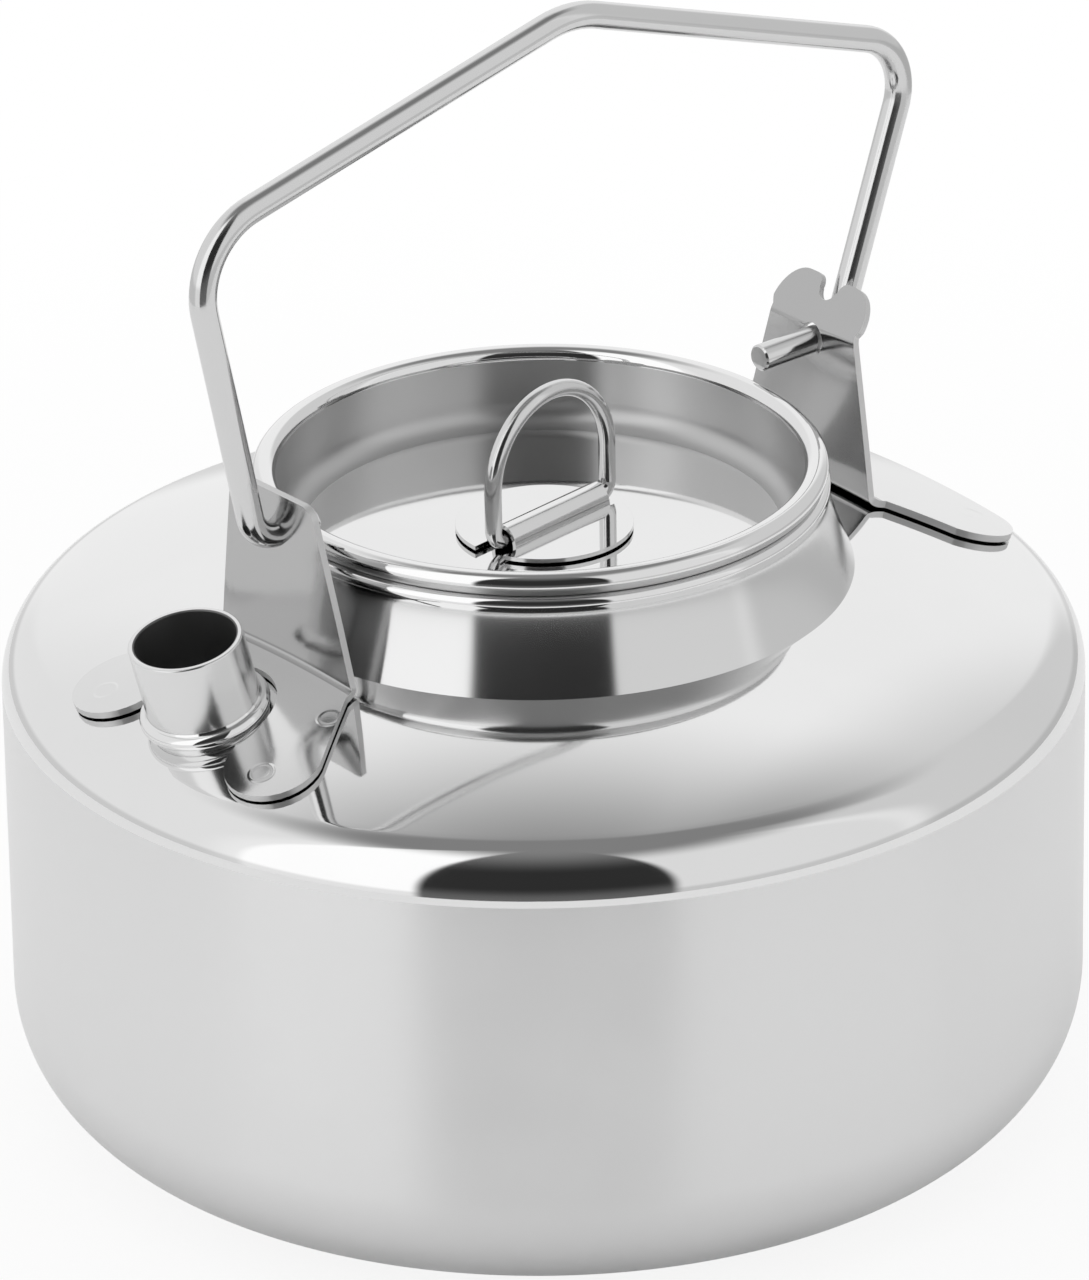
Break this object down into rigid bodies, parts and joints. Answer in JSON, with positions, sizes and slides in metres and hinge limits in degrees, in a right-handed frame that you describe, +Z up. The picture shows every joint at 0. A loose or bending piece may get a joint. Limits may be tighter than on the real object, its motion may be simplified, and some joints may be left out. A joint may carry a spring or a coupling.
{
  "type": "camping kettle",
  "caption": "Low round steel camping kettle with a short upright spout, dished lift-off lid with flip-up D ring, and fold-down wire bail.",
  "frame": {"origin": "centre of the flat base, on the surface that the kettle stands on", "axes": "+Z up, -X towards the spout, the bail folds about a line parallel to X through both bracket holes"},
  "size_m": [0.15, 0.15, 0.1591],
  "materials": {
    "satin_steel": "satin stainless steel, even fine grain round the side wall",
    "polished_steel": "mirror-polished stainless steel",
    "drawn_steel": "bright drawn stainless tube",
    "bracket_steel": "brushed stainless sheet",
    "wire_steel": "bright drawn stainless rod"
  },
  "bodies": {
    "body": {"lower_pan": "satin_steel", "shoulder_dome": "polished_steel", "neck_collar": "polished_steel", "spout_tube": "drawn_steel", "spout_collar": "polished_steel", "front_bracket": "bracket_steel", "rear_bracket": "bracket_steel"},
    "bail": {"bail_handle": "wire_steel"},
    "lid": {"lid_pan": "polished_steel", "ring_holder": "polished_steel"},
    "ring": {"lid_ring": "wire_steel"}
  },
  "joints": [
    {"name": "bail_fold", "type": "hinge", "parent": "body", "child": "bail", "pos_m": [0, 0, 0.097], "axis": [1, 0, 0], "range_deg": [-108, 108]},
    {"name": "lid_lift", "type": "slide", "parent": "body", "child": "lid", "axis": [0, 0, 1], "range_m": [0, 0.03]},
    {"name": "ring_flip", "type": "hinge", "parent": "lid", "child": "ring", "pos_m": [0.0011, -0.00085, 0.0849], "axis": [0.9925, 0.1219, 0], "range_deg": [-74, 74]}
  ]
}
